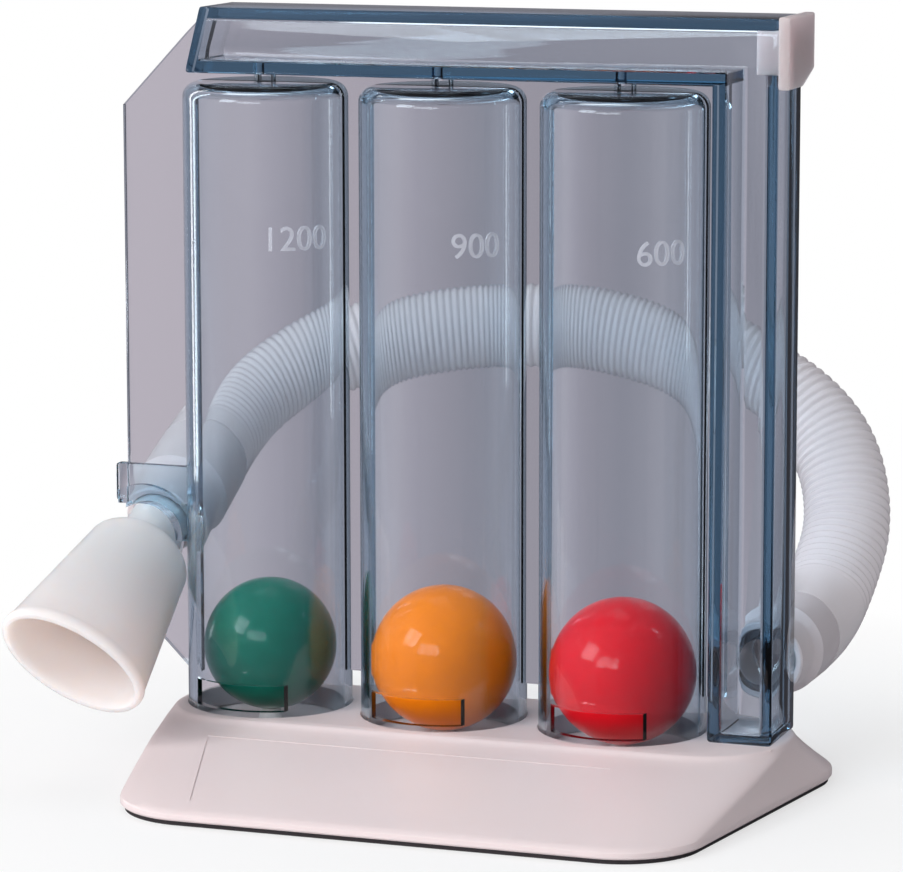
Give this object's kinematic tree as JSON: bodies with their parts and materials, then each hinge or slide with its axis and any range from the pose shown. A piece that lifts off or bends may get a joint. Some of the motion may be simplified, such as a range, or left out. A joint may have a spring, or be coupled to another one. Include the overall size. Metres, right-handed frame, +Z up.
{
  "type": "incentive spirometer",
  "caption": "Breathing exerciser: clear body with upright ball tubes under a header, on a moulded base, with an air duct and a corrugated hose to a mouthpiece.",
  "frame": {"origin": "on the surface that the object stands on, under the axis of the middle tube", "axes": "+Z up along the tubes, +X along the row of tubes towards the air duct, -Y towards the person who reads the scale"},
  "size_m": [0.1335, 0.137, 0.1318],
  "materials": {
    "mat": "matt foam",
    "base": "satin moulded plastic, pinkish white",
    "stop": "plain moulded plastic",
    "ball_green": "glossy moulded plastic",
    "ball_yellow": "glossy moulded plastic",
    "ball_red": "glossy moulded plastic",
    "clear": "clear, tinted faintly blue, polished",
    "fitting": "translucent pinkish white, smooth",
    "cuff": "soft, semi-matt",
    "hose": "translucent, finely corrugated"
  },
  "bodies": {
    "stand": {"base_mat": "mat", "base_shell": "base", "ball_stop_green": "stop", "ball_stop_yellow": "stop", "ball_stop_red": "stop", "front_shell": "clear", "rear_shell": "clear", "header_end_cap": "fitting", "hose_port_cuff": "cuff", "hose_mouth_cuff": "cuff", "hose": "hose"},
    "green_float": {"ball_green": "ball_green"},
    "yellow_float": {"ball_yellow": "ball_yellow"},
    "red_float": {"ball_red": "ball_red"},
    "spout": {"mouthpiece": "fitting"}
  },
  "joints": [
    {"name": "green_rise", "type": "slide", "parent": "stand", "child": "green_float", "axis": [0, 0, 1], "range_m": [0, 0.0858]},
    {"name": "yellow_rise", "type": "slide", "parent": "stand", "child": "yellow_float", "axis": [0, 0, 1], "range_m": [0, 0.0851]},
    {"name": "red_rise", "type": "slide", "parent": "stand", "child": "red_float", "axis": [0, 0, 1], "range_m": [0, 0.0851]},
    {"name": "spout_pull", "type": "slide", "parent": "stand", "child": "spout", "axis": [0.0324, -0.9266, -0.3746], "range_m": [0, 0.025]}
  ]
}
